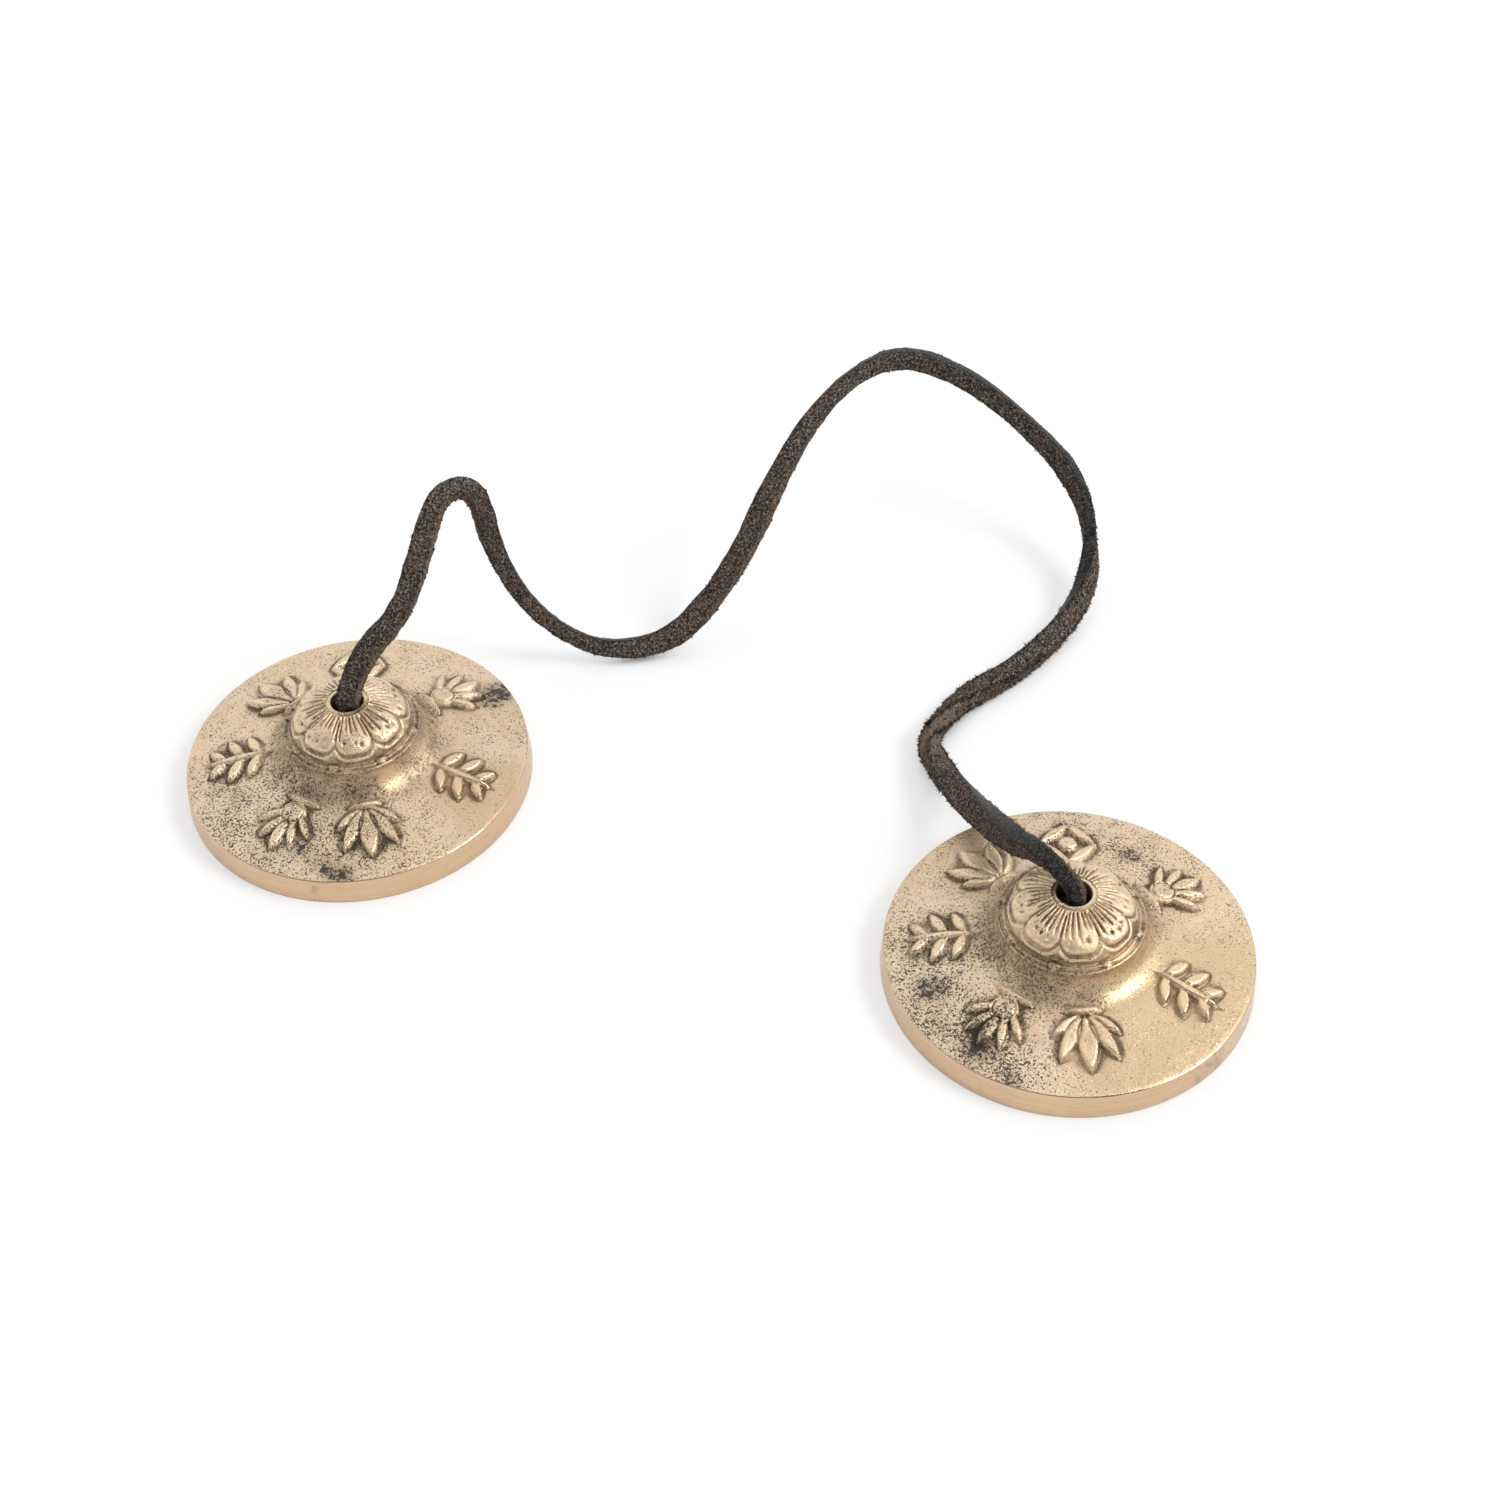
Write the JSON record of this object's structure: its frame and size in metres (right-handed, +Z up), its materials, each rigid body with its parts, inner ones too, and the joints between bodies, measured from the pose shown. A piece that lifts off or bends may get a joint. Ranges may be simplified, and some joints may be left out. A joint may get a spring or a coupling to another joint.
{
  "type": "tingsha cymbals",
  "caption": "Pair of small cast bronze hand cymbals with pierced lotus domes and raised ornaments, joined by a dark leather thong knotted inside the domes.",
  "frame": {"origin": "on the surface that both cymbals lie on, midway between their axes", "axes": "+X from the left cymbal's axis to the right one's, +Z up along the axes, +Y to the side where the thong lies"},
  "size_m": [0.206, 0.1514, 0.054],
  "materials": {
    "bronze": "cast bronze, worn bright on the relief, dark in the recesses, turned rim",
    "thong": "near-black leather, cut edges like suede"
  },
  "bodies": {
    "strap": {"strap": "thong"},
    "left_knot": {"left_knot": "thong"},
    "left_cymbal": {"left_cymbal": "bronze"},
    "right_knot": {"right_knot": "thong"},
    "right_cymbal": {"right_cymbal": "bronze"}
  },
  "joints": [
    {"name": "left_tilt", "type": "hinge", "parent": "strap", "child": "left_knot", "pos_m": [-0.07004, 0, 0.02211], "axis": [-0.7034, 0.7108, 0], "range_deg": [-25, 60]},
    {"name": "left_spin", "type": "hinge", "parent": "left_knot", "child": "left_cymbal", "pos_m": [-0.07004, 0, 0.0165], "axis": [0, 0, 1], "continuous": true},
    {"name": "right_tilt", "type": "hinge", "parent": "strap", "child": "right_knot", "pos_m": [0.07004, 0, 0.02211], "axis": [-0.4955, -0.8686, 0], "range_deg": [0, 75]},
    {"name": "right_spin", "type": "hinge", "parent": "right_knot", "child": "right_cymbal", "pos_m": [0.07004, 0, 0.0165], "axis": [0, 0, 1], "continuous": true}
  ]
}
